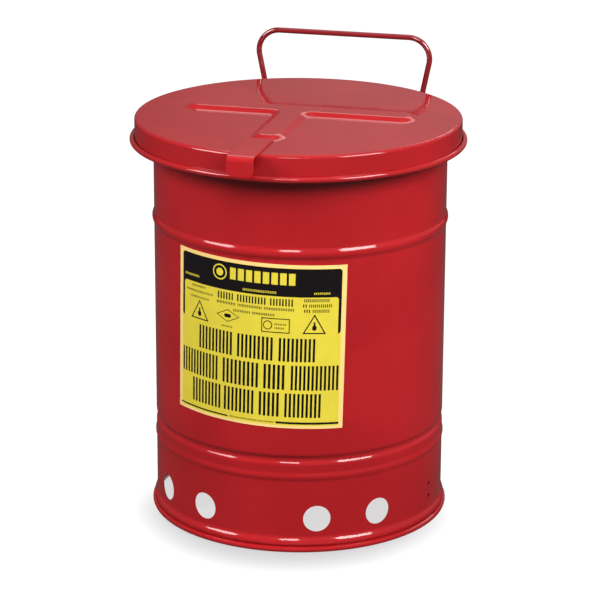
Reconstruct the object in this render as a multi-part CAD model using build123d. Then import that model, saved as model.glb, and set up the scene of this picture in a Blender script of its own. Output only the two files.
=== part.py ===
"""Oily waste can: a round steel can on a raised, vented base, with a self-closing hinged lid.

Frame: millimetres, +Z up, origin on the floor at the can's own axis. The lift tab points
to -Y (the front), the hinge and the carrying handle are at +Y, and +X is to the right of
someone who looks at the front. The lid is closed.
"""

import os
from math import asin
from math import cos
from math import degrees
from math import radians
from math import sin
from math import sqrt
from math import tan

from build123d import *

# ---- Driving dimensions, in millimetres and degrees -------------------------------------

BODY_RADIUS = 151.0  # outside of the plain wall
SHEET = 0.8  # steel sheet of the body, the pan and the lid
HALF_SHEET = SHEET / 2
LID_TOP = 420.4  # flat top of the closed lid
LID_RADIUS = 167.6  # outside of the lid's skirt
LID_CENTRE = (-1.0, -5.0)  # the lid sits a little forward on the rim
LID_SHOULDER = 3.0  # outside radius between the lid's top and its skirt
LID_EDGE_RADIUS = 172.7  # outside of the rolled edge under the skirt
LID_EDGE_Z = 397.0  # middle of that roll
RIM_ROLL = 3.2  # mid-sheet radius of the roll along the body's top edge
RIM_GAP = 0.3  # between the closed lid and the top of the rim

BEAD_Z, BEAD_HEIGHT, BEAD_DEPTH = 315.0, 15.0, 2.0  # outward bead above the label
GROOVE_Z, GROOVE_HEIGHT, GROOVE_DEPTH = 99.0, 13.0, 2.0  # inward groove, seats the pan
RIDGE_Z, RIDGE_HEIGHT, RIDGE_DEPTH = 80.5, 11.0, 1.0  # outward ridge under the groove

FLARE_TOP = 17.0  # where the wall starts to spread towards the foot
FLARE_RADIUS = 153.4  # widest mid-sheet radius of that flare
FLARE_Z = 8.6
FOOT_LIP_RADIUS = 152.2  # the wall's last, upright stretch, inside the base ring
FOOT_LIP_Z = 2.6
RING_INNER, RING_OUTER, RING_HEIGHT = 150.4, 155.8, 5.4
RING_CORNER, RING_GAP = 1.7, 0.1

VENT_RADIUS, VENT_Z = 14.0, 35.3
VENT_MIDDLE = -2.25  # middle of the vent pattern, measured from the front towards +X
VENT_ANGLES = (23.35, 48.55)  # to each side of that middle, front and back
PILOT_RADIUS, PILOT_HEIGHTS = 2.25, (28.1, 41.9)  # holes where a pedal version is bolted
PILOT_ANGLE = 79.85

PAN_TOP = 92.2  # floor of the waste space
PAN_FLANGE_Z = 70.0
PAN_GAP = 0.1  # between the pan's flange and the wall
PAN_CORNER = 4.0
SWAGE_MIDDLE, SWAGE_WIDTH, SWAGE_RISE = 104.0, 18.0, 2.6  # stiffening ring in the pan
SWAGE_LAND, PAN_LAND = 6.0, 8.0  # flats beside the swage and inside the pan's corner

LABEL_THICKNESS = 0.2
LABEL_ANGLES = (-39.1, 31.6)
LABEL_HEIGHTS = (135.0, 305.0)

EMBOSS_HEIGHT = 3.6  # the T pressed up in the lid
EMBOSS_FLANK = 9.0  # width of its sloping side, in plan
BAR_X = (-124.5, 121.0)
BAR_Y = (-12.0, 26.5)
STEM_X = (-26.0, 11.5)
STEM_FRONT = -116.0
EMBOSS_CORNER = 16.0
EMBOSS_FLANK_STEPS = 7

TAB_X, TAB_WIDTH, TAB_SHEET = -11.6, 27.0, 1.6  # lift tab, a strip over the lid's front edge
TAB_ROOT, TAB_FRONT = -116.4, -191.5
TAB_DROP = 19.5  # how far its end is turned down
TAB_BEND, TAB_CORNER = 4.5, 6.0

HINGE_Y, HINGE_Z = 178.0, 404.0  # the hinge pin's axis runs along X
OPEN_ANGLE = 60.0  # the lid stops here
PIN_RADIUS, HINGE_CLEARANCE = 3.0, 0.05
PIN_HOLE = PIN_RADIUS + HINGE_CLEARANCE
LEAF_EAR_X = (28.0, 30.0)  # the lid's two ears
WASHER_X = (30.25, 31.25)
BRACKET_EAR_X = (31.5, 33.5)  # the body's two ears, outside the lid's
EAR_HEAD = 6.5  # radius of an ear around the pin
LEAF_SHEET, LEAF_HEIGHTS, LEAF_HALF_ANGLE = 1.6, (401.2, 416.4), 14.0
LEAF_RIVET_ANGLES = (3.6, 12.2)
TAIL_LENGTH, TAIL_UNDER, TAIL_OVER = 16.5, 4.0, 3.5  # the finger that meets the stop
STOP_RADIUS, STOP_REACH, STOP_GAP = 2.5, 12.0, 0.1
STOP_HEAD, STOP_HEAD_RISE = 3.8, 1.5
PIN_HEAD, PIN_HEAD_RISE, PIN_STICK_OUT = 5.2, 2.2, 3.8
PUSH_NUT, PUSH_NUT_RISE = 6.2, 1.4
BRACKET_SHEET, BRACKET_HEIGHTS, BRACKET_HALF_ANGLE = 1.8, (340.0, 387.0), 18.5
BRACKET_RIVET_ANGLES, BRACKET_RIVET_HEIGHTS = (6.0, 15.4), (351.0, 376.0)
EAR_FOOT, EAR_TOP = (346.0, 9.0), 386.0  # where the bracket's ears leave the plate
EAR_THROAT, EAR_SHOULDER, EAR_CHIN = 7.0, 6.0, 3.0
BACKING_SHEET, BACKING_HEIGHTS, BACKING_HALF_ANGLE = 1.2, (343.0, 384.0), 17.5

HANDLE_WIRE = 3.0  # radius
HANDLE_Y, HANDLE_TOP = 194.5, 463.0  # plane and top bar of the upright wire
HANDLE_HALF_WIDTH, HANDLE_MIDDLE = 91.7, -1.2  # where the legs pass the lid's level
HANDLE_LEAN, HANDLE_CORNER = 11.5, 23.0
HANDLE_KNEE_Z, HANDLE_SEAT_Z, HANDLE_FOOT_Z = 386.0, 365.0, 325.5
HANDLE_FOOT_X, HANDLE_BEND, WIRE_GAP = 72.0, 13.0, 0.05
HANDLE_FOOT_ANGLE = degrees(asin(HANDLE_FOOT_X / (BODY_RADIUS + HANDLE_WIRE + WIRE_GAP)))
CLAMP_SHEET, CLAMP_HALF_ANGLE, CLAMP_RIVET_ANGLE = 1.6, 7.6, 5.6
CLAMP_HEIGHTS = (330.0, 346.0)

RIVET_SHANK, RIVET_HEAD, RIVET_RISE, RIVET_TAIL, RIVET_UPSET = 2.0, 4.0, 1.7, 3.1, 1.1

FAR = 2 * BODY_RADIUS  # longer than anything a cutter has to pass through


# ---- Helpers ---------------------------------------------------------------------------


def s_curve(start, end, heading):
    """Two tangent arcs from start to end, which leave and arrive along heading."""
    middle = (Vector(start) + Vector(end)) / 2
    first = TangentArc(start, middle, tangent=heading)
    second = TangentArc(middle, end, tangent=first % 1)
    return [first, second]


def bump(radius, z_middle, height, depth):
    """A bead in a wall that is drawn upwards: depth is outward when positive."""
    low = (radius, z_middle - height / 2)
    crest = (radius + depth, z_middle)
    high = (radius, z_middle + height / 2)
    return s_curve(low, crest, (0, 1)) + s_curve(crest, high, (0, 1))


def sheet_of_revolution(lines, half_thickness, kind=Kind.ARC):
    """Spin a drawn line of radius and height around Z, as sheet of twice half_thickness."""
    outline = Wire([edge for line in lines for edge in line.edges()])
    section = make_face(outline.offset_2d(half_thickness, kind=kind))
    section &= Pos(FAR / 2, LID_TOP / 2) * Rectangle(FAR, 2 * LID_TOP)
    return revolve(Plane.XZ * section, Axis.Z).fix()


def ring_sector(inner, outer, heights, angles):
    """Part of a tube around Z, between two angles counted from the front towards +X."""
    start = -90 + angles[0]
    sweep = angles[1] - angles[0]
    far_arc = CenterArc((0, 0), outer, start, sweep)
    near_arc = CenterArc((0, 0), inner, start, sweep)
    sides = Line(far_arc @ 0, near_arc @ 0) + Line(far_arc @ 1, near_arc @ 1)
    section = make_face((far_arc + near_arc + sides).edges())
    return Pos(0, 0, heights[0]) * extrude(section, heights[1] - heights[0])


def spoke(angle, radius, z):
    """A place on the wall, facing outwards, at an angle from the front towards +X."""
    turn = radians(angle - 90)
    return Plane(
        origin=(radius * cos(turn), radius * sin(turn), z),
        x_dir=(-sin(turn), cos(turn), 0),
        z_dir=(cos(turn), sin(turn), 0),
    )


def rivet(grip):
    """A rivet along +Z: its dome sits on z = 0 and its upset tail is under grip."""
    ball = (RIVET_HEAD**2 + RIVET_RISE**2) / (2 * RIVET_RISE)
    dome = Pos(0, 0, RIVET_RISE - ball) * Sphere(ball)
    dome &= Pos(0, 0, RIVET_RISE / 2) * Cylinder(RIVET_HEAD, RIVET_RISE)
    shank = Pos(0, 0, -grip / 2) * Cylinder(RIVET_SHANK, grip)
    tail = Pos(0, 0, -grip - RIVET_UPSET / 2) * Cylinder(RIVET_TAIL, RIVET_UPSET)
    tail = fillet(tail.edges().group_by(Axis.Z)[0], RIVET_UPSET / 2)
    return dome + shank + tail


def rectangle(x_range, y_range):
    """A rectangle between two values of x and two of y."""
    middle = Pos(sum(x_range) / 2, sum(y_range) / 2)
    return middle * Rectangle(x_range[1] - x_range[0], y_range[1] - y_range[0])


def along_x(section, x_low, x_high):
    """Extrude a section drawn as (y, z) from x_low to x_high."""
    return Pos(x_low, 0, 0) * extrude(Plane.YZ * section, x_high - x_low)


def rod(radius, x_low, x_high, y, z):
    """A round bar along X."""
    return along_x(Pos(y, z) * Circle(radius), x_low, x_high)


def both_sides(piece):
    """A piece and its mirror image across the hinge's middle plane."""
    return [piece, mirror(piece, about=Plane.YZ)]


def without(piece, cutters):
    """Cut every cutter from a piece, one after another."""
    for cutter in cutters:
        piece -= cutter
    return piece


# ---- Body ------------------------------------------------------------------------------


def body_profile():
    """Mid-sheet line of the wall, from the foot up to the end of the rolled rim."""
    radius = BODY_RADIUS - HALF_SHEET
    top = LID_TOP - SHEET - RIM_GAP
    roll_z = top - HALF_SHEET - RIM_ROLL
    crevice = (FOOT_LIP_RADIUS, RING_HEIGHT)
    crest = (FLARE_RADIUS, FLARE_Z)
    lines = [Line((FOOT_LIP_RADIUS, FOOT_LIP_Z), crevice)]
    lines += s_curve(crevice, crest, (0, 1))
    lines += s_curve(crest, (radius, FLARE_TOP), (0, 1))
    bumps = (
        (RIDGE_Z, RIDGE_HEIGHT, RIDGE_DEPTH),
        (GROOVE_Z, GROOVE_HEIGHT, -GROOVE_DEPTH),
        (BEAD_Z, BEAD_HEIGHT, BEAD_DEPTH),
    )
    for z_middle, height, depth in bumps:
        swell = bump(radius, z_middle, height, depth)
        lines += [Line(lines[-1] @ 1, swell[0] @ 0)] + swell
    lines += [Line(lines[-1] @ 1, (radius, roll_z))]
    lines += [CenterArc((radius + RIM_ROLL, roll_z), RIM_ROLL, 180, -300)]
    return lines


def body_shell(holes):
    """The rolled wall, with its bead, pan groove, rolled rim, flared foot and vents."""
    shell = sheet_of_revolution(body_profile(), HALF_SHEET)
    drills = []
    for side in (0, 180):
        for angle in VENT_ANGLES:
            for turn in (VENT_MIDDLE + side - angle, VENT_MIDDLE + side + angle):
                drills += [(turn, VENT_Z, VENT_RADIUS)]
    for turn in (VENT_MIDDLE - PILOT_ANGLE, VENT_MIDDLE + PILOT_ANGLE):
        drills += [(turn, z, PILOT_RADIUS) for z in PILOT_HEIGHTS]
    for turn, z, size in drills:
        shell -= spoke(turn, BODY_RADIUS, z) * Cylinder(size, 10 * SHEET)
    return without(shell, holes)


def base_ring():
    """Channel that is crimped over the wall's foot lip and stands on the floor.

    It is folded, so each of its corners is two slight bends with a flat between them.
    """
    inner, outer = RING_INNER + HALF_SHEET, RING_OUTER - HALF_SHEET
    low, high = HALF_SHEET, RING_HEIGHT - HALF_SHEET
    mouth = FOOT_LIP_RADIUS + SHEET + RING_GAP
    nick = RING_CORNER * (1 - cos(radians(45)))
    points = [(inner, high), (inner, low + RING_CORNER), (inner + nick, low + nick)]
    points += [(inner + RING_CORNER, low), (outer - RING_CORNER, low), (outer - nick, low + nick)]
    points += [(outer, low + RING_CORNER), (outer, high - RING_CORNER), (outer - nick, high - nick)]
    points += [(outer - RING_CORNER, high), (mouth, high)]
    return sheet_of_revolution([Polyline(*points)], HALF_SHEET, Kind.INTERSECTION)


def bottom_pan():
    """Raised floor with a turned-down flange, pushed up from below against the groove."""
    flange = BODY_RADIUS - SHEET - PAN_GAP - HALF_SHEET
    floor = PAN_TOP - HALF_SHEET
    dish = floor - SWAGE_RISE
    swage = [(SWAGE_MIDDLE - SWAGE_WIDTH / 2, dish)]
    swage += [(SWAGE_MIDDLE, dish - SWAGE_RISE)]
    swage += [(SWAGE_MIDDLE + SWAGE_WIDTH / 2, dish)]
    lines = [Line((0, dish), swage[0])]
    lines += s_curve(swage[0], swage[1], (1, 0))
    lines += s_curve(swage[1], swage[2], (1, 0))
    lines += [Line(swage[2], (swage[2][0] + SWAGE_LAND, dish))]
    lines += s_curve(lines[-1] @ 1, (flange - PAN_CORNER - PAN_LAND, floor), (1, 0))
    lines += [Line(lines[-1] @ 1, (flange - PAN_CORNER, floor))]
    lines += [CenterArc((flange - PAN_CORNER, floor - PAN_CORNER), PAN_CORNER, 90, -90)]
    lines += [Line(lines[-1] @ 1, (flange, PAN_FLANGE_Z))]
    return sheet_of_revolution(lines, HALF_SHEET)


def label():
    """Printed vinyl sheet on the front of the wall."""
    return ring_sector(BODY_RADIUS, BODY_RADIUS + LABEL_THICKNESS, LABEL_HEIGHTS, LABEL_ANGLES)


# ---- Rivets ----------------------------------------------------------------------------


def wall_rivets(turns, heights, radius, grip, centre=(0, 0)):
    """Rivets that hold sheets of a total thickness grip against an upright round wall."""
    pattern = rivet(grip)
    places = [spoke(turn, radius, z) for turn in turns for z in heights]
    return [Pos(*centre, 0) * place.location * pattern for place in places]


def hinge_bracket_rivets():
    """Rivets through the bracket, the wall and the backing plate."""
    turns = [180 + side * turn for turn in BRACKET_RIVET_ANGLES for side in (-1, 1)]
    grip = BRACKET_SHEET + SHEET + BACKING_SHEET
    return wall_rivets(turns, BRACKET_RIVET_HEIGHTS, BODY_RADIUS + BRACKET_SHEET, grip)


def handle_rivets():
    """Two rivets through each handle clamp and the wall."""
    turns = [180 + a * (HANDLE_FOOT_ANGLE + b * CLAMP_RIVET_ANGLE) for a in (-1, 1) for b in (-1, 1)]
    height = sum(CLAMP_HEIGHTS) / 2
    return wall_rivets(turns, [height], BODY_RADIUS + CLAMP_SHEET, CLAMP_SHEET + SHEET)


def lid_hinge_rivets():
    """Rivets through the lid's hinge leaf and its skirt."""
    turns = [180 + side * turn for turn in LEAF_RIVET_ANGLES for side in (-1, 1)]
    height = sum(LEAF_HEIGHTS) / 2
    return wall_rivets(turns, [height], LID_RADIUS + LEAF_SHEET, LEAF_SHEET + SHEET, LID_CENTRE)


# ---- Hinge -----------------------------------------------------------------------------


def eye(points, x_range):
    """A flat ear with an eye for the hinge pin: a (y, z) outline that joins a round head."""
    head = Pos(HINGE_Y, HINGE_Z) * Circle(EAR_HEAD)
    section = head + make_face(Polyline(*points, close=True))
    ear = along_x(section, *x_range)
    return ear - rod(PIN_HOLE, x_range[0] - 1, x_range[1] + 1, HINGE_Y, HINGE_Z)


def hinge_bracket():
    """The body's half of the hinge: a curved plate with two ears that reach back."""
    back = (180 - BRACKET_HALF_ANGLE, 180 + BRACKET_HALF_ANGLE)
    plate = ring_sector(BODY_RADIUS, BODY_RADIUS + BRACKET_SHEET, BRACKET_HEIGHTS, back)
    seat = sqrt(BODY_RADIUS**2 - BRACKET_EAR_X[1] ** 2)
    low, reach = EAR_FOOT
    front, rear = HINGE_Y - EAR_HEAD, HINGE_Y + EAR_HEAD
    outline = [(seat, low), (seat, EAR_TOP), (front - EAR_THROAT, EAR_TOP)]
    outline += [(front, EAR_TOP + EAR_SHOULDER), (front, HINGE_Z), (rear, HINGE_Z)]
    outline += [(rear, EAR_TOP - EAR_CHIN), (seat + reach, low)]
    bracket = plate
    for ear in both_sides(eye(outline, BRACKET_EAR_X)):
        bracket += ear - Cylinder(BODY_RADIUS, 3 * LID_TOP)
    return without(bracket, [lid_stop_bar()] + hinge_bracket_rivets())


def hinge_backing_plate():
    """Curved plate inside the wall that spreads the hinge's load."""
    outside = BODY_RADIUS - SHEET
    back = (180 - BACKING_HALF_ANGLE, 180 + BACKING_HALF_ANGLE)
    plate = ring_sector(outside - BACKING_SHEET, outside, BACKING_HEIGHTS, back)
    return without(plate, hinge_bracket_rivets())


def stop_place():
    """Centre of the stop bar, as (y, z): it is under the tail when the lid is fully open."""
    turn = radians(OPEN_ANGLE)
    aside = TAIL_UNDER + STOP_RADIUS + STOP_GAP
    y = HINGE_Y - aside * sin(turn) + STOP_REACH * cos(turn)
    z = HINGE_Z - aside * cos(turn) - STOP_REACH * sin(turn)
    return y, z


def lid_stop_bar():
    """Round bar between the body's ears, riveted over outside them."""
    y, z = stop_place()
    outer = BRACKET_EAR_X[1]
    bar = rod(STOP_RADIUS, -outer - STOP_HEAD_RISE, outer + STOP_HEAD_RISE, y, z)
    for head in both_sides(rod(STOP_HEAD, outer, outer + STOP_HEAD_RISE, y, z)):
        bar += head
    return bar


def hinge_pin():
    """The lid's pivot: a headed pin through all four ears."""
    outer = BRACKET_EAR_X[1]
    pin = rod(PIN_RADIUS, -outer, outer + PIN_STICK_OUT, HINGE_Y, HINGE_Z)
    pin = fillet(pin.edges().group_by(Axis.X)[-1], 0.8)
    head = rod(PIN_HEAD, -outer - PIN_HEAD_RISE, -outer, HINGE_Y, HINGE_Z)
    head = fillet(head.edges().group_by(Axis.X)[0], 0.6 * PIN_HEAD_RISE)
    return pin + head


def hinge_pin_push_nut():
    """Pressed spring washer that keeps the pin in."""
    inner_face = BRACKET_EAR_X[1]
    nut = rod(PUSH_NUT, inner_face, inner_face + PUSH_NUT_RISE, HINGE_Y, HINGE_Z)
    nut = fillet(nut.edges().group_by(Axis.X)[-1], 0.7 * PUSH_NUT_RISE)
    return nut - rod(PIN_RADIUS, inner_face - 1, inner_face + 4, HINGE_Y, HINGE_Z)


def hinge_washers():
    """A spacer between each lid ear and the body ear beside it."""
    washer = rod(EAR_HEAD - 0.5, *WASHER_X, HINGE_Y, HINGE_Z)
    washer -= rod(PIN_HOLE, WASHER_X[0] - 1, WASHER_X[1] + 1, HINGE_Y, HINGE_Z)
    return both_sides(washer)


# ---- Handle ----------------------------------------------------------------------------


def handle_path():
    """Centre line of the wire: foot, bend to the rear, leaning leg, top bar and back."""
    foot_y = sqrt((BODY_RADIUS + HANDLE_WIRE + WIRE_GAP) ** 2 - HANDLE_FOOT_X**2)
    points = []
    for side in (-1, 1):
        leg = []
        for z in (HANDLE_TOP, HANDLE_KNEE_Z):
            spread = HANDLE_HALF_WIDTH + (z - LID_TOP) * tan(radians(HANDLE_LEAN))
            leg += [(HANDLE_MIDDLE + side * spread, HANDLE_Y, z)]
        for z in (HANDLE_SEAT_Z, HANDLE_FOOT_Z):
            leg += [(side * HANDLE_FOOT_X, foot_y, z)]
        points = points + leg if points else leg[::-1]
    bends = [HANDLE_BEND, HANDLE_BEND, HANDLE_CORNER, HANDLE_CORNER, HANDLE_BEND, HANDLE_BEND]
    return FilletPolyline(*points, radius=bends)


def handle():
    """Upright carrying loop of round wire behind the lid."""
    path = handle_path()
    start = Plane(origin=path @ 0, z_dir=path % 0)
    wire = sweep(start * Circle(HANDLE_WIRE), path=path)
    ends = wire.edges().group_by(Axis.Z)[0]
    return fillet(ends, HANDLE_WIRE / 3)


def handle_clamp(side):
    """Saddle strap that holds one foot of the handle to the wall: side is -1 or 1."""
    middle = 180 - side * HANDLE_FOOT_ANGLE
    wings = (middle - CLAMP_HALF_ANGLE, middle + CLAMP_HALF_ANGLE)
    strap = ring_sector(BODY_RADIUS, BODY_RADIUS + CLAMP_SHEET, CLAMP_HEIGHTS, wings)
    height = CLAMP_HEIGHTS[1] - CLAMP_HEIGHTS[0]
    room = HANDLE_WIRE + WIRE_GAP
    foot = spoke(middle, BODY_RADIUS + room, sum(CLAMP_HEIGHTS) / 2)
    place = Pos(*foot.origin)
    strap += place * Cylinder(room + CLAMP_SHEET, height)
    strap -= place * Cylinder(room, 2 * height)
    strap -= foot.location * Pos(0, 0, -room) * Box(2 * room, 2 * height, 2 * room)
    strap -= Cylinder(BODY_RADIUS, 3 * LID_TOP)
    return without(strap, handle_rivets())


# ---- Lid -------------------------------------------------------------------------------


def emboss_outline(inset):
    """Plan of the T at the foot of its slope, or further up when inset."""
    plan = rectangle(BAR_X, BAR_Y) + rectangle(STEM_X, (STEM_FRONT, sum(BAR_Y) / 2))
    inside_corners = plan.vertices().filter_by(lambda v: v.Y == BAR_Y[0] and v.X in STEM_X)
    outside_corners = [v for v in plan.vertices() if v not in inside_corners]
    plan = fillet(outside_corners, EMBOSS_CORNER)
    inside_corners = plan.vertices().filter_by(lambda v: v.Y == BAR_Y[0] and v.X in STEM_X)
    plan = fillet(inside_corners, EMBOSS_CORNER / 3)
    return offset(plan, -inset) if inset else plan


def emboss(drop):
    """The T as a solid pad with soft slopes, lowered by drop."""
    sections = []
    for step in range(EMBOSS_FLANK_STEPS + 1):
        share = step / EMBOSS_FLANK_STEPS
        rise = EMBOSS_HEIGHT * share**2 * (3 - 2 * share)
        plan = emboss_outline(EMBOSS_FLANK * share)
        sections += [Pos(0, 0, LID_TOP - drop + rise) * plan.face()]
    return loft(sections, ruled=True)


def lid_cover():
    """Pressed lid: flat top with the raised T, rounded shoulder, skirt and rolled edge."""
    top = LID_TOP - HALF_SHEET
    skirt = LID_RADIUS - HALF_SHEET
    shoulder = LID_SHOULDER - HALF_SHEET
    roll = (LID_EDGE_RADIUS - HALF_SHEET - skirt) / 2
    lines = [Line((0, top), (skirt - shoulder, top))]
    lines += [CenterArc((skirt - shoulder, top - shoulder), shoulder, 90, -90)]
    lines += [Line(lines[-1] @ 1, (skirt, LID_EDGE_Z))]
    lines += [CenterArc((skirt + roll, LID_EDGE_Z), roll, 180, 290)]
    cover = Pos(*LID_CENTRE, 0) * sheet_of_revolution(lines, HALF_SHEET)
    cover += emboss(0)
    cover -= emboss(SHEET)
    return without(cover, lid_hinge_rivets())


def lift_tab():
    """Strip welded to the lid's top, which passes over its front edge and turns down."""
    middle_z = LID_TOP + TAB_SHEET / 2
    front = TAB_FRONT + TAB_SHEET / 2
    bottom = LID_TOP + TAB_SHEET - TAB_DROP
    lines = [Line((TAB_ROOT + TAB_BEND, middle_z), (front + TAB_BEND, middle_z))]
    lines += [CenterArc((front + TAB_BEND, middle_z - TAB_BEND), TAB_BEND, 90, 90)]
    lines += [Line((front, middle_z - TAB_BEND), (front, bottom - TAB_BEND))]
    outline = Wire([line.edge() for line in lines]).offset_2d(TAB_SHEET / 2)
    window = Pos((TAB_ROOT + TAB_FRONT) / 2, bottom + TAB_DROP / 2)
    section = make_face(outline) & window * Rectangle(TAB_ROOT - TAB_FRONT, TAB_DROP)
    strip = along_x(section, TAB_X - TAB_WIDTH / 2, TAB_X + TAB_WIDTH / 2)
    across = strip.edges().filter_by(Axis.Y)
    lip_corners = across.filter_by(lambda e: abs(e.center().Z - bottom) < TAB_SHEET)
    return fillet(lip_corners, TAB_CORNER)


def lid_hinge_leaf():
    """The lid's half of the hinge: two ears, each with a tail that meets the stop bar."""
    back = (180 - LEAF_HALF_ANGLE, 180 + LEAF_HALF_ANGLE)
    plate = ring_sector(LID_RADIUS, LID_RADIUS + LEAF_SHEET, LEAF_HEIGHTS, back)
    seat = LID_CENTRE[1] + sqrt(LID_RADIUS**2 - (LEAF_EAR_X[1] - LID_CENTRE[0]) ** 2)
    low, high = LEAF_HEIGHTS[0] + 1, LEAF_HEIGHTS[1] - 1
    tip = HINGE_Y + TAIL_LENGTH
    outline = [(seat, low), (seat, high), (HINGE_Y, HINGE_Z + EAR_HEAD)]
    outline += [(tip, HINGE_Z + TAIL_OVER), (tip, HINGE_Z - TAIL_UNDER)]
    outline += [(HINGE_Y, HINGE_Z - TAIL_UNDER)]
    skirt = Pos(*LID_CENTRE, 0) * Cylinder(LID_RADIUS, 3 * LID_TOP)
    leaf = Pos(*LID_CENTRE, 0) * plate
    for ear in both_sides(eye(outline, LEAF_EAR_X)):
        leaf += ear - skirt
    return without(leaf, lid_hinge_rivets())


# ---- Export ----------------------------------------------------------------------------


def main():
    """Build every piece and write each to parts/ under its own name."""
    pieces = {
        "body_shell": body_shell(hinge_bracket_rivets() + handle_rivets()),
        "base_ring": base_ring(),
        "bottom_pan": bottom_pan(),
        "label": label(),
        "hinge_bracket": hinge_bracket(),
        "hinge_backing_plate": hinge_backing_plate(),
        "hinge_bracket_rivets": hinge_bracket_rivets(),
        "hinge_pin": hinge_pin(),
        "hinge_pin_push_nut": hinge_pin_push_nut(),
        "hinge_washers": hinge_washers(),
        "lid_stop_bar": lid_stop_bar(),
        "handle": handle(),
        "handle_clamp_left": handle_clamp(-1),
        "handle_clamp_right": handle_clamp(1),
        "handle_rivets": handle_rivets(),
        "lid_cover": lid_cover(),
        "lift_tab": lift_tab(),
        "lid_hinge_leaf": lid_hinge_leaf(),
        "lid_hinge_rivets": lid_hinge_rivets(),
    }
    os.makedirs("parts", exist_ok=True)
    for name, piece in pieces.items():
        group = Compound(children=piece) if isinstance(piece, list) else piece
        export_step(group, f"parts/{name}.step")


main()
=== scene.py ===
"""Looks of a red steel oily waste can: enamel, zinc plating, printed label and a plain studio."""

import math

import bmesh
import bpy
from bpy.props import FloatProperty
from bpy.props import FloatVectorProperty
from bpy.props import PointerProperty
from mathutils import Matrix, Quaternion
from mathutils import Vector


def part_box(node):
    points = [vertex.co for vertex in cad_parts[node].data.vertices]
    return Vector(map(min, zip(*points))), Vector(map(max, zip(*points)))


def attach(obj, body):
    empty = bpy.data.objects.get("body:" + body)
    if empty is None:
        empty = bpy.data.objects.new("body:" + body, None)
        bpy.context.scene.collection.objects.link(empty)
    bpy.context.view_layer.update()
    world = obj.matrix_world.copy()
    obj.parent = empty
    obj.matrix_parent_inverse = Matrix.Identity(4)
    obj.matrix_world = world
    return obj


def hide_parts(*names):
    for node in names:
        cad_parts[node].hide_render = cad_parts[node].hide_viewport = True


bl_info = {
    "name": "Oily Waste Can Looks",
    "version": (1, 0, 0),
    "blender": (4, 5, 0),
    "location": "View3D > Sidebar > Waste Can",
    "description": "Enamel, printed label, weld seam and studio for a steel oily waste can",
    "category": "Object",
}

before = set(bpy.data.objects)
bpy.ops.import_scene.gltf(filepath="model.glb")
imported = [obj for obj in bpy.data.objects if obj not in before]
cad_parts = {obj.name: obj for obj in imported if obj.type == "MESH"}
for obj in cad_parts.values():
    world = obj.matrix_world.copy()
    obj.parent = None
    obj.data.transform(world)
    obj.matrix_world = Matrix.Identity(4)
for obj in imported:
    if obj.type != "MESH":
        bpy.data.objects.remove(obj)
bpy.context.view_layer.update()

WALL_NODES = ("body_shell",)
LID_NODES = ("lid_cover",)
WIRE_NODES = ("handle",)
ZINC_NODES = ("hinge_pin", "hinge_pin_push_nut", "hinge_washers")
LABEL_NODE = "label"
LABEL_RADIUS = -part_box(LABEL_NODE)[0].y  # from the can's axis to the label's face
LABEL_COLUMNS = 60
LABEL_ROWS = 12

# Enamel. Heights are in metres, and a red of 1 is the full colour; a red below 1 is painted shade.
CLEAN_ROUGHNESS = 0.07
SMEAR_ROUGHNESS = 0.04
DUST_ROUGHNESS = 0.15
DUST_COLOUR = (0.55, 0.35, 0.33)
DUST_SHARE = 0.05
PEEL_HEIGHT = 0.000012
WAVE_HEIGHT = 0.00009
LID_WAVE_HEIGHT = 0.00016
# Painted shade: the lid's enamel is drawn a little darker than the wall's.
LID_PAINTED_SHADE_RED = 0.93
# Painted shade: the wire's enamel is drawn much darker than the wall's.
WIRE_PAINTED_SHADE_RED = 0.55
ENAMEL_IOR = 1.45
WIRE_IOR = 1.75

# The wall's weld seam, in metres.
SEAM_TURN = math.radians(128)
SEAM_HALF_FLAT = 0.0028
SEAM_HALF_WIDTH = 0.0040
SEAM_HEIGHT = 0.00022
SEAM_RIPPLE = 0.00010

# The print is laid out in millimetres from the label's middle.
PRINT_UNIT = 0.001
PRINT_BLUR = 0.08

# Rows of upright strokes: the strokes' pitch, and their share of it.
TITLE = (8.6, 0.74)
LARGE = (4.1, 0.56)
MEDIUM = (2.9, 0.5)
SMALL_WIDE = (1.9, 0.5)
SMALL = (1.7, 0.5)
FINE = (1.5, 0.5)
FINEST = (1.3, 0.5)

# Each row: its strokes, its lower and upper edge, and each word's left and right end.
BLACK_ROWS = (
    (LARGE, -15.1, 9.4, ((-63.0, -22.8), (-17.0, 20.3), (26.3, 62.6))),
    (LARGE, -45.0, -19.0, ((-87.0, -39.2), (-33.0, 5.9), (11.5, 32.8), (39.1, 87.0))),
    (LARGE, -73.9, -48.6, ((-71.5, -35.2), (-31.0, 1.7), (7.3, 27.8), (33.5, 69.8))),
    (MEDIUM, 42.6, 50.0, ((-39.9, -22.5), (-18.0, 12.0), (16.5, 39.3))),
    (SMALL, 37.6, 40.4, ((-41.0, -20.0), (-17.5, 8.0), (10.5, 40.5))),
    (SMALL, 31.4, 34.0, ((-21.8, -4.0), (-1.5, 21.0))),
    (FINE, 48.0, 50.2, ((-73.5, -55.8),)),
    (FINE, 42.4, 44.6, ((-81.6, -46.4),)),
    (FINE, 36.4, 38.6, ((-75.4, -51.2),)),
    (SMALL_WIDE, 47.6, 51.0, ((50.4, 75.4),)),
    (SMALL_WIDE, 42.0, 45.4, ((49.4, 53.0), (55.5, 78.0))),
    (SMALL_WIDE, 36.6, 40.0, ((50.5, 56.5), (59.0, 75.6))),
    (FINEST, -80.8, -79.2, ((-24.5, 23.0),)),
    (FINE, 13.6, 15.4, ((-35.0, -23.0),)),
    (SMALL, 22.4, 24.4, ((21.5, 33.0),)),
    (SMALL, 18.4, 20.4, ((21.5, 31.0),)),
)
YELLOW_ROWS = (
    (TITLE, 64.4, 76.6, ((-26.3, 41.2),)),
    (SMALL, 55.0, 57.4, ((-12.0, 22.4),)),
    (SMALL, 55.4, 57.6, ((60.0, 76.0),)),
    (SMALL, 58.0, 60.4, ((-84.0, -64.0),)),
)

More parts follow.
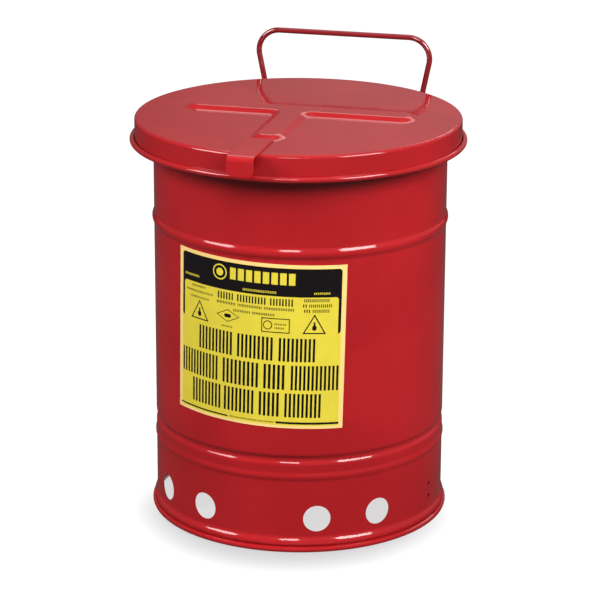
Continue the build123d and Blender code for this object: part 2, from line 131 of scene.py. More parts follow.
# Each block: its left, right, lower and upper edge, and the radius of its corners.
FIELD = (-88.2, 88.2, -82.6, 81.9, 3.0)
HEADER = (-87.9, 87.9, 14.3, 81.6, 3.5)
HEADER_OPENING = (-85.0, 85.0, 10.0, 52.4, 3.0)
HEADER_LIMIT = (-90.0, 90.0, 14.3, 90.0, 0.3)
TITLE_RING = (-46.3, -29.9, 61.9, 78.1, 8.1)
TITLE_RING_OPENING = (-44.9, -31.3, 63.3, 76.7, 6.7)
TITLE_SPOT = (-42.1, -34.1, 66.0, 74.0, 3.9)
RULES = ((-90.0, -26.7, -81.1, -79.5, 0.3), (25.0, 88.5, -81.1, -78.8, 0.3))
CARD = (8.1, 36.8, 14.4, 29.6, 0.3)
CARD_OPENING = (9.1, 35.8, 15.4, 28.6, 0.3)
CARD_RING = (9.9, 19.3, 17.3, 26.7, 4.6)
CARD_RING_OPENING = (10.9, 18.3, 18.3, 25.7, 3.6)
DIAMOND_MIDDLE = (-28.2, 25.8)
DIAMOND_SPOT = (-32.0, -24.4, 23.9, 27.7, 1.4)
TRIANGLE_MIDDLES = (-63.0, 61.2)
TRIANGLE_BASE = 14.5
DROP_BODY = (-2.2, 2.2, 18.0, 23.6, 2.1)  # left and right of a triangle's middle
DROP_TIP = (-0.9, 0.9, 22.0, 27.0, 0.8)

# The floor, in metres. It glows to the camera, dimmer round the can's foot as a painted shadow, and a
# painted glow under the can lights it inside.
FLOOR_HALF_WIDTH = 9.0
FLOOR_GLOW = 0.50
FLOOR_WHITE = 0.12
FLOOR_BOUNCE = 0.08
FOOT_RADIUS = 0.153
# Painted shadow: where the camera-only glow dims round the foot.
SHADE_MIDDLE = (0.004, -0.045)
SHADE_RADII = (0.110, 0.193)
# Painted glow: a patch of floor under the can that lights its inside.
UNDER_MIDDLE = (-0.024, 0.002)
UNDER_RADIUS = 0.148
UNDER_GLOW = 0.68

# The surroundings: a dim light from all round, a sheen on the right, and white to the camera.
WORLD_FILL = 0.17
WORLD_SHEEN = 0.14
WORLD_SHEEN_EDGES = (-0.09, 0.03)
WORLD_WHITE = 1.0

# The softboxes: turn from the camera and rise, in degrees, distance, width, height and power.
SOFTBOX_AIM = Vector((0.0, 0.0, 0.25))
SOFTBOXES = {
    "overhead": (0, 88, 2.2, 1.4, 1.2, 4.0),
    "left": (-66, 33, 2.4, 1.0, 1.1, 48.0),
    "middle": (-8, 34, 2.6, 0.6, 0.6, 17.0),
    "right": (46, 34, 2.4, 1.1, 1.1, 69.0),
    "behind": (165, 40, 2.6, 1.8, 1.2, 12.0),
}


# ---- Settings --------------------------------------------------------------------------


def length(name, description, default):
    """A length in metres that a user may change."""
    return FloatProperty(name=name, description=description, default=default, unit="LENGTH")


def colour(name, description, default):
    """A colour, as linear red, green and blue."""
    return FloatVectorProperty(
        name=name, description=description, default=default, subtype="COLOR", size=3, min=0, max=1
    )


class CanLabelSettings(bpy.types.PropertyGroup):
    """Sizes of the printed label."""

    width: length("Width", "Width of the label along the wall", 0.1856)
    height: length("Height", "Height of the label", 0.171)
    middle: length("Middle height", "Height of the label's middle above the floor", 0.21975)
    lift: length("Lift", "How far the vinyl stands off the wall", 0.00006)
    thickness: length("Thickness", "Thickness of the vinyl", 0.0002)
    turn: FloatProperty(
        name="Turn", description="Angle of the label's middle from the front",
        default=math.radians(-3.7), subtype="ANGLE",
    )
    tilt: FloatProperty(
        name="Tilt", description="How far out of level the label was stuck on",
        default=math.radians(-1.3), subtype="ANGLE",
    )


class CanColourSettings(bpy.types.PropertyGroup):
    """Colours of the finishes."""

    enamel: colour("Enamel", "Red powder coat", (0.40, 0.0115, 0.0150))
    enamel_dark: colour("Enamel, deep", "Red powder coat where it is thick", (0.35, 0.0090, 0.0120))
    zinc: colour("Zinc", "Zinc plating of the hinge pin", (0.55, 0.56, 0.58))
    zinc_dull: colour("Zinc, dull", "Zinc plating with a passive film", (0.40, 0.39, 0.36))
    field: colour("Label field", "Yellow of the label", (0.73, 0.60, 0.050))
    border: colour("Label border", "Pale edge of the label", (0.95, 0.66, 0.24))
    ink: colour("Label ink", "Black print on the label", (0.006, 0.004, 0.005))


class CanStageSettings(bpy.types.PropertyGroup):
    """The camera and the studio."""

    azimuth: FloatProperty(
        name="Azimuth", description="Camera's direction round the can",
        default=math.radians(14.2), subtype="ANGLE",
    )
    elevation: FloatProperty(
        name="Elevation", description="Camera's height above the horizon",
        default=math.radians(17.847), subtype="ANGLE",
    )
    roll: FloatProperty(
        name="Roll", description="Camera's turn about its own axis",
        default=math.radians(0.24), subtype="ANGLE",
    )
    distance: length("Distance", "From the camera to the point it looks at", 2.774)
    aim: length("Aim height", "Height of the point that the camera looks at", 0.2199)
    aim_side: length("Aim aside", "How far right of the can's axis the camera looks", 0.0001)
    lens: FloatProperty(
        name="Lens", description="Focal length in millimetres", default=159.15, min=20, max=400
    )


# ---- Node helpers ----------------------------------------------------------------------


def put(tree, kind, inputs=None, **settings):
    """Add a node, set its options, and set or link its inputs."""
    node = tree.nodes.new(kind)
    for key, value in settings.items():
        setattr(node, key, value)
    for key, value in (inputs or {}).items():
        if isinstance(value, bpy.types.NodeSocket):
            tree.links.new(value, node.inputs[key])
        else:
            node.inputs[key].default_value = value
    return node


def maths(tree, operation, *values):
    """A Math node's result."""
    node = put(tree, "ShaderNodeMath", dict(enumerate(values)), operation=operation)
    return node.outputs[0]


def blend_colours(tree, factor, first, second):
    """Mix two colours by a factor."""
    node = put(tree, "ShaderNodeMix", data_type="RGBA")
    for socket, value in ((node.inputs[0], factor), (node.inputs[6], first), (node.inputs[7], second)):
        if isinstance(value, bpy.types.NodeSocket):
            tree.links.new(value, socket)
        else:
            socket.default_value = value
    return node.outputs[2]


def span(tree, value, low, high, to_low=0.0, to_high=1.0):
    """Map a value from one range to another, smoothly and clamped."""
    inputs = {0: value, 1: low, 2: high, 3: to_low, 4: to_high}
    node = put(tree, "ShaderNodeMapRange", inputs, interpolation_type="SMOOTHSTEP")
    return node.outputs[0]


def opaque(rgb):
    """A colour with full alpha."""
    return (*rgb, 1.0)


def new_group(name, inputs, outputs):
    """A shader node group with its sockets; gives the tree and its in and out nodes."""
    tree = bpy.data.node_groups.new(name, "ShaderNodeTree")
    kinds = {"float": "NodeSocketFloat", "vector": "NodeSocketVector", "colour": "NodeSocketColor"}
    for socket_name, kind, default in inputs:
        socket = tree.interface.new_socket(socket_name, in_out="INPUT", socket_type=kinds[kind])
        if default is not None:
            socket.default_value = default
    for socket_name, kind in outputs:
        tree.interface.new_socket(socket_name, in_out="OUTPUT", socket_type=kinds[kind])
    entry = tree.nodes.new("NodeGroupInput")
    leave = tree.nodes.new("NodeGroupOutput")
    return tree, entry.outputs, leave.inputs


def use_group(tree, group, inputs):
    """Place a node group in a material."""
    node = tree.nodes.new("ShaderNodeGroup")
    node.node_tree = group
    for key, value in inputs.items():
        if isinstance(value, bpy.types.NodeSocket):
            tree.links.new(value, node.inputs[key])
        else:
            node.inputs[key].default_value = value
    return node.outputs


def new_material(name):
    """An empty node material; gives it, its tree and its Principled shader."""
    material = bpy.data.materials.new(name)
    material.use_nodes = True
    tree = material.node_tree
    return material, tree, tree.nodes["Principled BSDF"]


def object_place(tree):
    """Object coordinates."""
    return put(tree, "ShaderNodeTexCoord").outputs["Object"]


def noise(tree, vector, scale, detail=2.0, roughness=0.5):
    """Noise of a given scale, in waves per metre."""
    inputs = {"Vector": vector, "Scale": scale, "Detail": detail, "Roughness": roughness}
    return put(tree, "ShaderNodeTexNoise", inputs).outputs["Fac"]


# ---- Shared effects --------------------------------------------------------------------


def orange_peel_group():
    """Height of sprayed and baked enamel: fine dimples over a slow waviness of the sheet."""
    inputs = [("Vector", "vector", None), ("Fine", "float", 520.0), ("Slow", "float", 28.0)]
    inputs += [("Fine height", "float", PEEL_HEIGHT), ("Slow height", "float", WAVE_HEIGHT)]
    tree, entry, leave = new_group("Orange Peel", inputs, [("Height", "float")])
    fine = noise(tree, entry["Vector"], entry["Fine"], 1.0)
    slow = noise(tree, entry["Vector"], entry["Slow"], 1.0)
    fine = maths(tree, "MULTIPLY", fine, entry["Fine height"])
    slow = maths(tree, "MULTIPLY", slow, entry["Slow height"])
    tree.links.new(maths(tree, "ADD", fine, slow), leave["Height"])
    return tree


def handling_group():
    """Faint smears and dust: a mask that makes the gloss uneven."""
    inputs = [("Vector", "vector", None)]
    tree, entry, leave = new_group("Handling", inputs, [("Smear", "float"), ("Dust", "float")])
    stretched = put(tree, "ShaderNodeMapping", {"Vector": entry["Vector"], "Scale": (1, 1, 0.35)})
    smear = noise(tree, stretched.outputs[0], 14.0, 5.0, 0.6)
    tree.links.new(span(tree, smear, 0.42, 0.72), leave["Smear"])
    dust = noise(tree, entry["Vector"], 1900.0, 1.0)
    tree.links.new(span(tree, dust, 0.70, 0.80), leave["Dust"])
    return tree


def block_group():
    """A printed block with round corners: 1 inside, 0 outside. Sizes are in millimetres."""
    inputs = [("Vector", "vector", None), ("X", "float", 0.0), ("Y", "float", 0.0)]
    inputs += [("Half width", "float", 1.0), ("Half height", "float", 1.0), ("Corner", "float", 0.3)]
    tree, entry, leave = new_group("Printed Block", inputs, [("Mask", "float")])
    parts = put(tree, "ShaderNodeSeparateXYZ", {0: entry["Vector"]}).outputs
    sides = []
    for part, middle, half in (("X", "X", "Half width"), ("Y", "Y", "Half height")):
        away = maths(tree, "ABSOLUTE", maths(tree, "SUBTRACT", parts[part], entry[middle]))
        inner = maths(tree, "SUBTRACT", entry[half], entry["Corner"])
        sides += [maths(tree, "MAXIMUM", maths(tree, "SUBTRACT", away, inner), 0.0)]
    squares = [maths(tree, "MULTIPLY", side, side) for side in sides]
    reach = maths(tree, "SQRT", maths(tree, "ADD", *squares))
    beyond = maths(tree, "SUBTRACT", reach, entry["Corner"])
    limits = {0: beyond, 1: -PRINT_BLUR, 2: PRINT_BLUR, 3: 1.0, 4: 0.0}
    mask = put(tree, "ShaderNodeMapRange", limits).outputs[0]
    tree.links.new(mask, leave["Mask"])
    return tree


def strokes_group():
    """Upright strokes at an even pitch across X: 1 on a stroke, 0 between."""
    inputs = [("Vector", "vector", None), ("Start", "float", 0.0)]
    inputs += [("Pitch", "float", 4.0), ("Share", "float", 0.55)]
    tree, entry, leave = new_group("Printed Strokes", inputs, [("Mask", "float")])
    across = put(tree, "ShaderNodeSeparateXYZ", {0: entry["Vector"]}).outputs["X"]
    turns = maths(tree, "DIVIDE", maths(tree, "SUBTRACT", across, entry["Start"]), entry["Pitch"])
    phase = maths(tree, "FRACT", turns)
    tree.links.new(maths(tree, "LESS_THAN", phase, entry["Share"]), leave["Mask"])
    return tree


def triangle_group():
    """An outlined warning triangle, point up: 1 on the line. Sizes are in millimetres."""
    inputs = [("Vector", "vector", None), ("X", "float", 0.0), ("Base", "float", 0.0)]
    inputs += [("Half width", "float", 11.8), ("Height", "float", 20.8), ("Line", "float", 1.3)]
    tree, entry, leave = new_group("Printed Triangle", inputs, [("Mask", "float")])
    parts = put(tree, "ShaderNodeSeparateXYZ", {0: entry["Vector"]}).outputs
    away = maths(tree, "ABSOLUTE", maths(tree, "SUBTRACT", parts["X"], entry["X"]))
    up = maths(tree, "SUBTRACT", parts["Y"], entry["Base"])
    squares = [maths(tree, "POWER", entry[key], 2.0) for key in ("Half width", "Height")]
    slant = maths(tree, "SQRT", maths(tree, "ADD", *squares))
    sideways = maths(tree, "MULTIPLY", away, entry["Height"])
    upwards = maths(tree, "MULTIPLY", up, entry["Half width"])
    corner = maths(tree, "MULTIPLY", entry["Height"], entry["Half width"])
    leaning = maths(tree, "SUBTRACT", maths(tree, "ADD", sideways, upwards), corner)
    side = maths(tree, "DIVIDE", leaning, slant)
    outside = maths(tree, "MAXIMUM", side, maths(tree, "MULTIPLY", up, -1.0))
    depth = maths(tree, "MULTIPLY", outside, -1.0)
    inked = maths(tree, "MULTIPLY", maths(tree, "GREATER_THAN", depth, 0.0),
                  maths(tree, "LESS_THAN", depth, entry["Line"]))
    tree.links.new(inked, leave["Mask"])
    return tree


def diamond_group():
    """An outlined diamond: 1 on the line. Sizes are in millimetres."""
    inputs = [("Vector", "vector", None), ("X", "float", 0.0), ("Y", "float", 0.0)]
    inputs += [("Half width", "float", 13.3), ("Half height", "float", 6.7), ("Line", "float", 0.12)]
    tree, entry, leave = new_group("Printed Diamond", inputs, [("Mask", "float")])
    parts = put(tree, "ShaderNodeSeparateXYZ", {0: entry["Vector"]}).outputs
    shares = []
    for part, middle, half in (("X", "X", "Half width"), ("Y", "Y", "Half height")):
        away = maths(tree, "ABSOLUTE", maths(tree, "SUBTRACT", parts[part], entry[middle]))
        shares += [maths(tree, "DIVIDE", away, entry[half])]
    reach = maths(tree, "ADD", *shares)
    inner = maths(tree, "SUBTRACT", 1.0, entry["Line"])
    inked = maths(tree, "MULTIPLY", maths(tree, "GREATER_THAN", reach, inner),
                  maths(tree, "LESS_THAN", reach, 1.0))
    tree.links.new(inked, leave["Mask"])
    return tree


# ---- Finishes --------------------------------------------------------------------------


def enamel(name, groups, seam=False, waves=WAVE_HEIGHT, red=1.0, ior=ENAMEL_IOR):
    """Baked red powder coat; on the wall it also covers the ground-down weld seam. A red below 1 darkens it
    as painted shade.
    """
    colours = bpy.context.scene.can_colours
    material, tree, shader = new_material(name)
    place = object_place(tree)
    handling = use_group(tree, groups["handling"], {"Vector": place})
    smear = handling["Smear"]
    dust = handling["Dust"]
    tone = span(tree, noise(tree, place, 9.0, 3.0), 0.35, 0.65)
    light = opaque((red * colours.enamel[0], *colours.enamel[1:]))
    dark = opaque((red * colours.enamel_dark[0], *colours.enamel_dark[1:]))
    base = blend_colours(tree, tone, light, dark)
    base = blend_colours(tree, maths(tree, "MULTIPLY", dust, DUST_SHARE), base, opaque(DUST_COLOUR))
    height = use_group(tree, groups["peel"], {"Vector": place, "Slow height": waves})["Height"]
    if seam:
        height = maths(tree, "ADD", height, weld_seam_height(tree, place))
    bump = put(tree, "ShaderNodeBump", {"Height": height, "Strength": 1.0, "Distance": 1.0})
    rough = maths(tree, "ADD", CLEAN_ROUGHNESS, maths(tree, "MULTIPLY", smear, SMEAR_ROUGHNESS))
    rough = maths(tree, "ADD", rough, maths(tree, "MULTIPLY", dust, DUST_ROUGHNESS))
    tree.links.new(base, shader.inputs["Base Color"])
    tree.links.new(rough, shader.inputs["Roughness"])
    tree.links.new(bump.outputs[0], shader.inputs["Normal"])
    shader.inputs["IOR"].default_value = ior
    return material


def weld_seam_height(tree, place):
    """A flat welded seam down the back left of the wall, under the paint."""
    out = (math.cos(SEAM_TURN), math.sin(SEAM_TURN), 0)
    along = (-math.sin(SEAM_TURN), math.cos(SEAM_TURN), 0)
    parts = [
        put(tree, "ShaderNodeVectorMath", {0: place, 1: way}, operation="DOT_PRODUCT").outputs["Value"]
        for way in (out, along)
    ]
    behind = maths(tree, "LESS_THAN", parts[1], 0.0)
    away = maths(tree, "ABSOLUTE", parts[0])
    band = span(tree, away, SEAM_HALF_FLAT, SEAM_HALF_WIDTH, SEAM_HEIGHT, 0.0)
    ripples = maths(tree, "MULTIPLY", noise(tree, place, 260.0, 2.0), SEAM_RIPPLE)
    ripples = maths(tree, "MULTIPLY", maths(tree, "GREATER_THAN", band, SEAM_HEIGHT / 2), ripples)
    return maths(tree, "MULTIPLY", behind, maths(tree, "ADD", band, ripples))


def zinc_plate():
    """Bright zinc plating with a slightly dull film."""
    colours = bpy.context.scene.can_colours
    material, tree, shader = new_material("zinc plated steel")
    place = object_place(tree)
    film = span(tree, noise(tree, place, 160.0, 4.0, 0.65), 0.38, 0.66)
    base = blend_colours(tree, film, opaque(colours.zinc), opaque(colours.zinc_dull))
    turned = put(tree, "ShaderNodeMapping", {"Vector": place, "Scale": (6.0, 0.4, 0.4)}).outputs[0]
    height = maths(tree, "MULTIPLY", noise(tree, turned, 900.0, 2.0), 0.00001)
    bump = put(tree, "ShaderNodeBump", {"Height": height, "Distance": 1.0})
    tree.links.new(base, shader.inputs["Base Color"])
    tree.links.new(span(tree, film, 0.0, 1.0, 0.28, 0.46), shader.inputs["Roughness"])
    tree.links.new(bump.outputs[0], shader.inputs["Normal"])
    shader.inputs["Metallic"].default_value = 1.0
    return material


class LabelPrint:
    """The label's printing plate: masks that are 1 where there is ink."""

    def __init__(self, tree, place, groups):
        self.tree = tree
        self.place = place
        self.groups = groups

    def block(self, left, right, low, high, corner):
        """A filled block with round corners."""
        inputs = {"Vector": self.place, "X": (left + right) / 2, "Y": (low + high) / 2, "Corner": corner}
        inputs.update({"Half width": (right - left) / 2, "Half height": (high - low) / 2})
        return use_group(self.tree, self.groups["block"], inputs)["Mask"]

    def cut(self, outer, opening):
        """A block with an opening in it."""
        return maths(self.tree, "SUBTRACT", self.block(*outer), self.block(*opening))

    def word(self, kind, left, right, low, high):
        """A word of upright strokes that starts and ends with a whole stroke."""
        pitch, share = kind
        count = max(1, round((right - left) / pitch))
        even_pitch = (right - left) / (count - 1 + share)
        inputs = {"Vector": self.place, "Start": left, "Pitch": even_pitch, "Share": share}
        strokes = use_group(self.tree, self.groups["strokes"], inputs)["Mask"]
        return maths(self.tree, "MULTIPLY", strokes, self.block(left, right, low, high, 0.3))

    def rows(self, table):
        """Every word of a table of rows."""
        return [
            self.word(kind, left, right, low, high)
            for kind, low, high, ends in table
            for left, right in ends
        ]

    def triangle(self, middle):
        """A warning triangle with a drop in it."""
        inputs = {"Vector": self.place, "X": middle, "Base": TRIANGLE_BASE}
        masks = [use_group(self.tree, self.groups["triangle"], inputs)["Mask"]]
        for left, right, low, high, corner in (DROP_BODY, DROP_TIP):
            masks += [self.block(middle + left, middle + right, low, high, corner)]
        return masks

    def diamond(self):
        """An outlined diamond with a spot in it."""
        inputs = {"Vector": self.place, "X": DIAMOND_MIDDLE[0], "Y": DIAMOND_MIDDLE[1]}
        outline = use_group(self.tree, self.groups["diamond"], inputs)["Mask"]
        return [outline, self.block(*DIAMOND_SPOT)]

    def union(self, masks):
        """One mask with all of them."""
        total = masks[0]
        for mask in masks[1:]:
            total = maths(self.tree, "MAXIMUM", total, mask)
        return total

    def black(self):
        """The header with its side bars, the rows, the shapes and the rules."""
        header = self.cut(HEADER, HEADER_OPENING)
        masks = [maths(self.tree, "MULTIPLY", header, self.block(*HEADER_LIMIT))]
        masks += self.rows(BLACK_ROWS)
        for middle in TRIANGLE_MIDDLES:
            masks += self.triangle(middle)
        masks += self.diamond()
        masks += [self.cut(CARD, CARD_OPENING), self.cut(CARD_RING, CARD_RING_OPENING)]
        masks += [self.block(*rule) for rule in RULES]
        return self.union(masks)

    def yellow(self):
        """What is left out of the header: the ring, the title and three short rows."""
        masks = [self.cut(TITLE_RING, TITLE_RING_OPENING), self.block(*TITLE_SPOT)]
        return self.union(masks + self.rows(YELLOW_ROWS))


def label_place(tree):
    """Where a point is on the label, in print units from its middle."""
    sizes = bpy.context.scene.can_label
    width = sizes.width / PRINT_UNIT
    height = sizes.height / PRINT_UNIT
    flat = put(tree, "ShaderNodeUVMap", uv_map="label").outputs[0]
    scaled = put(tree, "ShaderNodeVectorMath", {0: flat, 1: (width, height, 1.0)}, operation="MULTIPLY")
    middle = {0: scaled.outputs[0], 1: (width / 2, height / 2, 0.0)}
    return put(tree, "ShaderNodeVectorMath", middle, operation="SUBTRACT").outputs[0]


def label_vinyl(groups):
    """Yellow printed vinyl with a pale edge and black and yellow print."""
    colours = bpy.context.scene.can_colours
    material, tree, shader = new_material("printed label vinyl")
    place = label_place(tree)
    plate = LabelPrint(tree, place, groups)
    black = plate.black()
    paper = blend_colours(tree, plate.block(*FIELD), opaque(colours.border), opaque(colours.field))
    printed = blend_colours(tree, black, paper, opaque(colours.ink))
    printed = blend_colours(tree, plate.yellow(), printed, opaque(colours.field))
    fade = span(tree, noise(tree, place, 0.05, 3.0), 0.3, 0.7, 0.94, 1.0)
    shade = put(tree, "ShaderNodeMix", data_type="RGBA", blend_type="MULTIPLY")
    shade.inputs[0].default_value = 1.0
    tree.links.new(printed, shade.inputs[6])
    tree.links.new(fade, shade.inputs[7])
    grain = maths(tree, "MULTIPLY", noise(tree, place, 0.9, 2.0), 0.000018)
    layer = maths(tree, "MULTIPLY", black, 0.000006)
    bump = put(tree, "ShaderNodeBump", {"Height": maths(tree, "ADD", grain, layer), "Distance": 1.0})
    tree.links.new(shade.outputs[2], shader.inputs["Base Color"])
    tree.links.new(span(tree, black, 0.0, 1.0, 0.28, 0.22), shader.inputs["Roughness"])
    tree.links.new(bump.outputs[0], shader.inputs["Normal"])
    shader.inputs["Specular IOR Level"].default_value = 0.35
    return material


def effect_groups():
    """Every shared node group, built once."""
    makers = {
        "peel": ("Orange Peel", orange_peel_group),
        "handling": ("Handling", handling_group),
        "block": ("Printed Block", block_group),
        "strokes": ("Printed Strokes", strokes_group),
        "triangle": ("Printed Triangle", triangle_group),
        "diamond": ("Printed Diamond", diamond_group),
    }
    built = bpy.data.node_groups
    return {key: built.get(name) or maker() for key, (name, maker) in makers.items()}


# ---- Mesh helpers ----------------------------------------------------------------------


def finished_object(name, bm, material, body):
    """Turn a bmesh into a piece that rides on a body."""
    bmesh.ops.recalc_face_normals(bm, faces=bm.faces)
    mesh = bpy.data.meshes.new(name)
    bm.to_mesh(mesh)
    bm.free()
    for polygon in mesh.polygons:
        polygon.use_smooth = True
    mesh.materials.append(material)
    piece = bpy.data.objects.new(name, mesh)
    bpy.context.scene.collection.objects.link(piece)
    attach(piece, body)
    return piece


def dress(nodes, material):
    """Give CAD nodes one material."""
    for name in nodes:
        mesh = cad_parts[name].data
        mesh.materials.clear()
        mesh.materials.append(material)


def direction(turn, rise):
    """A unit vector from the can: a turn round it from the front, and a rise above the floor."""
    return Vector((math.sin(turn) * math.cos(rise), -math.cos(turn) * math.cos(rise), math.sin(rise)))


# ---- Operators -------------------------------------------------------------------------


class OBJECT_OT_can_enamel(bpy.types.Operator):
    """Coat the wall, lid, base, handle and hinge plates in red enamel"""

    bl_idname = "object.can_enamel"
    bl_label = "Red enamel"

    def execute(self, context):
        groups = effect_groups()
        dress(WALL_NODES, enamel("red enamel on the wall", groups, seam=True))
        # The lid's enamel is drawn darker as painted shade.
        dress(LID_NODES, enamel("red enamel on the lid with painted shade", groups, waves=LID_WAVE_HEIGHT, red=LID_PAINTED_SHADE_RED))
        # The wire's enamel is drawn darker as painted shade.
        dress(WIRE_NODES, enamel("red enamel on the wire with painted shade", groups, red=WIRE_PAINTED_SHADE_RED, ior=WIRE_IOR))
        others = (*WALL_NODES, *LID_NODES, *WIRE_NODES, *ZINC_NODES, LABEL_NODE)
        rest = [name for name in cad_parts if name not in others]
        dress(rest, enamel("red enamel", groups))
        return {"FINISHED"}


class OBJECT_OT_can_hinge_zinc(bpy.types.Operator):
    """Plate the hinge pin, its push nut and its washers with zinc"""

    bl_idname = "object.can_hinge_zinc"
    bl_label = "Zinc plating"

    def execute(self, context):
        dress(ZINC_NODES, zinc_plate())
        return {"FINISHED"}


class OBJECT_OT_can_label(bpy.types.Operator):
    """Stick the printed vinyl label on the wall"""

    bl_idname = "object.can_label"
    bl_label = "Label"

    def execute(self, context):
        sizes = context.scene.can_label
        radius = LABEL_RADIUS - sizes.thickness + sizes.lift
        bm = self.curved_sheet(sizes, radius)
        self.lay_out(bm, sizes, radius)
        self.tilt(bm, sizes, radius)
        piece = finished_object("printed_label", bm, label_vinyl(effect_groups()), "can")
        piece.data.set_sharp_from_angle(angle=math.radians(40))
        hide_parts(LABEL_NODE)
        return {"FINISHED"}

    def curved_sheet(self, sizes, radius):
        """An upright edge, spun along the wall and thickened."""
        sweep = sizes.width / radius
        start = sizes.turn - sweep / 2
        bm = bmesh.new()
        foot = Vector((radius * math.sin(start), -radius * math.cos(start), sizes.middle - sizes.height / 2))
        ends = [bm.verts.new(foot), bm.verts.new(foot + Vector((0, 0, sizes.height)))]
        edge = bm.edges.new(ends)
        bmesh.ops.subdivide_edges(bm, edges=[edge], cuts=LABEL_ROWS - 1)
        line = bm.verts[:] + bm.edges[:]
        bmesh.ops.spin(bm, geom=line, axis=(0, 0, 1), cent=(0, 0, 0), angle=sweep, steps=LABEL_COLUMNS)
        bmesh.ops.recalc_face_normals(bm, faces=bm.faces)
        outward = bm.faces[0].normal.dot(bm.faces[0].calc_center_median())
        bmesh.ops.solidify(bm, geom=bm.faces[:], thickness=math.copysign(sizes.thickness, -outward))
        return bm

    def lay_out(self, bm, sizes, radius):
        """Map the print onto the sheet: 0 to 1 along the wall and upwards."""
        sweep = sizes.width / radius
        start = sizes.turn - sweep / 2
        low = sizes.middle - sizes.height / 2
        flat = bm.loops.layers.uv.new("label")
        for face in bm.faces:
            for loop in face.loops:
                turn = math.atan2(loop.vert.co.x, -loop.vert.co.y) - start
                loop[flat].uv = (turn / sweep, (loop.vert.co.z - low) / sizes.height)

    def tilt(self, bm, sizes, radius):
        """Turn the sheet a little out of level, along the wall."""
        slope = math.tan(sizes.tilt)
        for vert in bm.verts:
            turn = math.atan2(vert.co.x, -vert.co.y) - sizes.turn
            up = vert.co.z - sizes.middle
            vert.co.z += slope * turn * radius
            vert.co.rotate(Quaternion((0, 0, 1), -slope * up / radius))


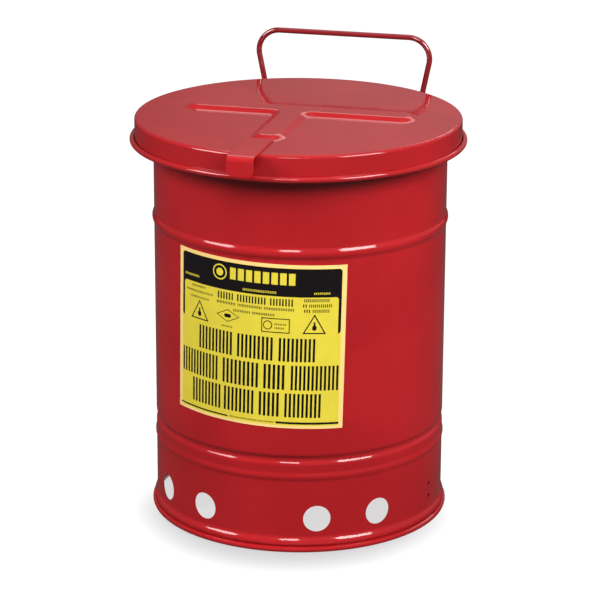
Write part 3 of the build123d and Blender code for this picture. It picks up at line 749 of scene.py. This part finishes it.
class OBJECT_OT_can_stage(bpy.types.Operator):
    """Set up the floor, the soft lights and the camera"""

    bl_idname = "object.can_stage"
    bl_label = "Studio"

    def execute(self, context):
        self.make_floor()
        self.make_world(context)
        self.make_lights(context)
        self.make_camera(context)
        context.scene.view_settings.view_transform = "Standard"
        return {"FINISHED"}

    def make_floor(self):
        """A wide, pale, matt floor."""
        bm = bmesh.new()
        bmesh.ops.create_grid(bm, x_segments=4, y_segments=4, size=FLOOR_HALF_WIDTH)
        mesh = bpy.data.meshes.new("studio_floor")
        bm.to_mesh(mesh)
        bm.free()
        material, tree, shader = new_material("pale floor")
        seen = put(tree, "ShaderNodeLightPath").outputs["Is Camera Ray"]
        base = blend_colours(tree, seen, opaque((FLOOR_BOUNCE,) * 3), opaque((FLOOR_WHITE,) * 3))
        tree.links.new(base, shader.inputs["Base Color"])
        tree.links.new(self.floor_glow(tree, seen), shader.inputs["Emission Strength"])
        shader.inputs["Roughness"].default_value = 0.9
        shader.inputs["Specular IOR Level"].default_value = 0.0
        shader.inputs["Emission Color"].default_value = (1.0, 1.0, 1.0, 1.0)
        mesh.materials.append(material)
        floor = bpy.data.objects.new("studio_floor", mesh)
        bpy.context.scene.collection.objects.link(floor)

    def floor_glow(self, tree, seen):
        """Painted light from under the can, which fills it, and from around it, which only the camera sees
        and which dims round the foot as a painted shadow.
        """
        place = object_place(tree)
        reach = []
        for middle in ((0.0, 0.0), UNDER_MIDDLE, SHADE_MIDDLE):
            inputs = {0: place, 1: (*middle, 0.0)}
            reach += [put(tree, "ShaderNodeVectorMath", inputs, operation="DISTANCE").outputs["Value"]]
        outside = maths(tree, "GREATER_THAN", reach[0], FOOT_RADIUS)
        # Painted glow under the can, seen through the vents.
        under = maths(tree, "MULTIPLY", maths(tree, "LESS_THAN", reach[1], UNDER_RADIUS), UNDER_GLOW)
        under = maths(tree, "MULTIPLY", maths(tree, "SUBTRACT", 1.0, outside), under)
        # Painted shadow: the glow seen by the camera dims towards the can's foot.
        around = maths(tree, "MULTIPLY", outside, span(tree, reach[2], *SHADE_RADII, FLOOR_GLOW, 1.0))
        return maths(tree, "ADD", under, maths(tree, "MULTIPLY", seen, around))

    def make_world(self, context):
        """White surroundings: full white to the eye, softer as a light."""
        world = bpy.data.worlds.new("studio")
        context.scene.world = world
        world.use_nodes = True
        tree = world.node_tree
        tree.nodes.clear()
        path = put(tree, "ShaderNodeLightPath").outputs
        azimuth = context.scene.can_stage.azimuth
        right = (math.cos(azimuth), math.sin(azimuth), 0.0)
        towards = put(tree, "ShaderNodeTexCoord").outputs["Generated"]
        side = put(tree, "ShaderNodeVectorMath", {0: towards, 1: right}, operation="DOT_PRODUCT")
        sheen = span(tree, side.outputs["Value"], *WORLD_SHEEN_EDGES, 0.0, WORLD_SHEEN)
        strength = maths(tree, "ADD", WORLD_FILL, maths(tree, "MULTIPLY", path["Is Glossy Ray"], sheen))
        strength = maths(tree, "ADD", strength, maths(tree, "MULTIPLY", path["Is Camera Ray"], WORLD_WHITE))
        light = put(tree, "ShaderNodeBackground", {"Color": (1.0, 1.0, 1.0, 1.0), "Strength": strength})
        put(tree, "ShaderNodeOutputWorld", {"Surface": light.outputs[0]})

    def make_lights(self, context):
        """Softboxes: one overhead, three around the front, one behind."""
        azimuth = context.scene.can_stage.azimuth
        for name, (turn, rise, away, width, height, power) in SOFTBOXES.items():
            light = bpy.data.lights.new("softbox_" + name, "AREA")
            light.shape = "RECTANGLE"
            light.size = width
            light.size_y = height
            light.energy = power
            lamp = bpy.data.objects.new("softbox_" + name, light)
            context.scene.collection.objects.link(lamp)
            back = direction(azimuth + math.radians(turn), math.radians(rise))
            lamp.location = SOFTBOX_AIM + back * away
            lamp.rotation_euler = (-back).to_track_quat("-Z", "Y").to_euler()

    def make_camera(self, context):
        """The camera, level but for a slight roll."""
        view = context.scene.can_stage
        data = bpy.data.cameras.new("camera")
        data.lens = view.lens
        data.sensor_width = 36.0
        data.clip_start = 0.1
        data.clip_end = 50.0
        camera = bpy.data.objects.new("camera", data)
        context.scene.collection.objects.link(camera)
        back = direction(view.azimuth, view.elevation)
        camera.location = Vector((view.aim_side, 0, view.aim)) + back * view.distance
        facing = (-back).to_track_quat("-Z", "Y")
        camera.rotation_mode = "QUATERNION"
        camera.rotation_quaternion = facing @ Quaternion((0, 0, 1), view.roll)
        context.scene.camera = camera


class VIEW3D_PT_can(bpy.types.Panel):
    """Lists the steps that dress the can"""

    bl_idname = "VIEW3D_PT_can"
    bl_label = "Oily Waste Can"
    bl_space_type = "VIEW_3D"
    bl_region_type = "UI"
    bl_category = "Waste Can"

    def draw(self, context):
        for settings in (context.scene.can_label, context.scene.can_colours, context.scene.can_stage):
            box = self.layout.box()
            for name in settings.__annotations__:
                box.prop(settings, name)
        for operator in OPERATORS:
            self.layout.operator(operator.bl_idname)


OPERATORS = (OBJECT_OT_can_enamel, OBJECT_OT_can_hinge_zinc, OBJECT_OT_can_label, OBJECT_OT_can_stage)
SETTINGS = {"can_label": CanLabelSettings, "can_colours": CanColourSettings, "can_stage": CanStageSettings}


def register():
    """Register the settings, the operators and the panel."""
    for name, settings in SETTINGS.items():
        bpy.utils.register_class(settings)
        setattr(bpy.types.Scene, name, PointerProperty(type=settings))
    for operator in OPERATORS:
        bpy.utils.register_class(operator)
    bpy.utils.register_class(VIEW3D_PT_can)


def unregister():
    """Undo register."""
    bpy.utils.unregister_class(VIEW3D_PT_can)
    for operator in reversed(OPERATORS):
        bpy.utils.unregister_class(operator)
    for name, settings in SETTINGS.items():
        delattr(bpy.types.Scene, name)
        bpy.utils.unregister_class(settings)


def main():
    """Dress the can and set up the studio."""
    register()
    bpy.ops.object.can_enamel()
    bpy.ops.object.can_hinge_zinc()
    bpy.ops.object.can_label()
    bpy.ops.object.can_stage()


if __name__ == "__main__":
    main()
